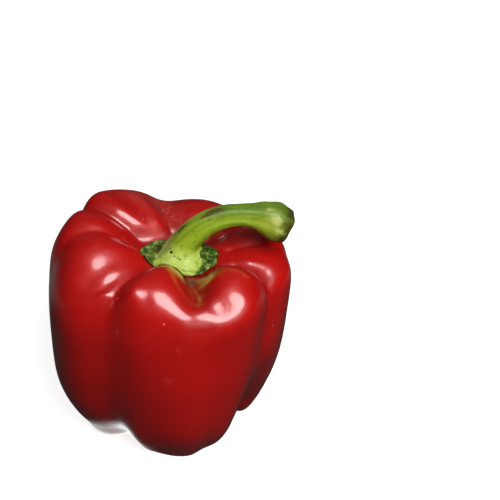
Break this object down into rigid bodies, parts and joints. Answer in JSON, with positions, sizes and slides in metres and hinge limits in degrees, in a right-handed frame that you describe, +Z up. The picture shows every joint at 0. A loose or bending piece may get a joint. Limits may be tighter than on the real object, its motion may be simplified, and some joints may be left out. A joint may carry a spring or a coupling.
{
  "type": "bell pepper",
  "caption": "Whole red bell pepper as picked, a blocky lobed fruit that stands on its foot lobes, with a green calyx and a thick stem bent over to one side.",
  "frame": {"origin": "on the resting surface, under the middle of the whole pepper's box", "axes": "+Z up through the fruit, +X the way the stem bends, -Y towards the picture's camera"},
  "size_m": [0.099, 0.0938, 0.1018],
  "materials": {
    "fruit_skin": "smooth waxy glossy pepper skin, deep red",
    "stem_green": "satin fleshy stem, yellow-green, with a darker crinkled calyx rim"
  },
  "bodies": {
    "root": {"fruit": "fruit_skin", "stem_with_calyx": "stem_green"}
  },
  "joints": []
}
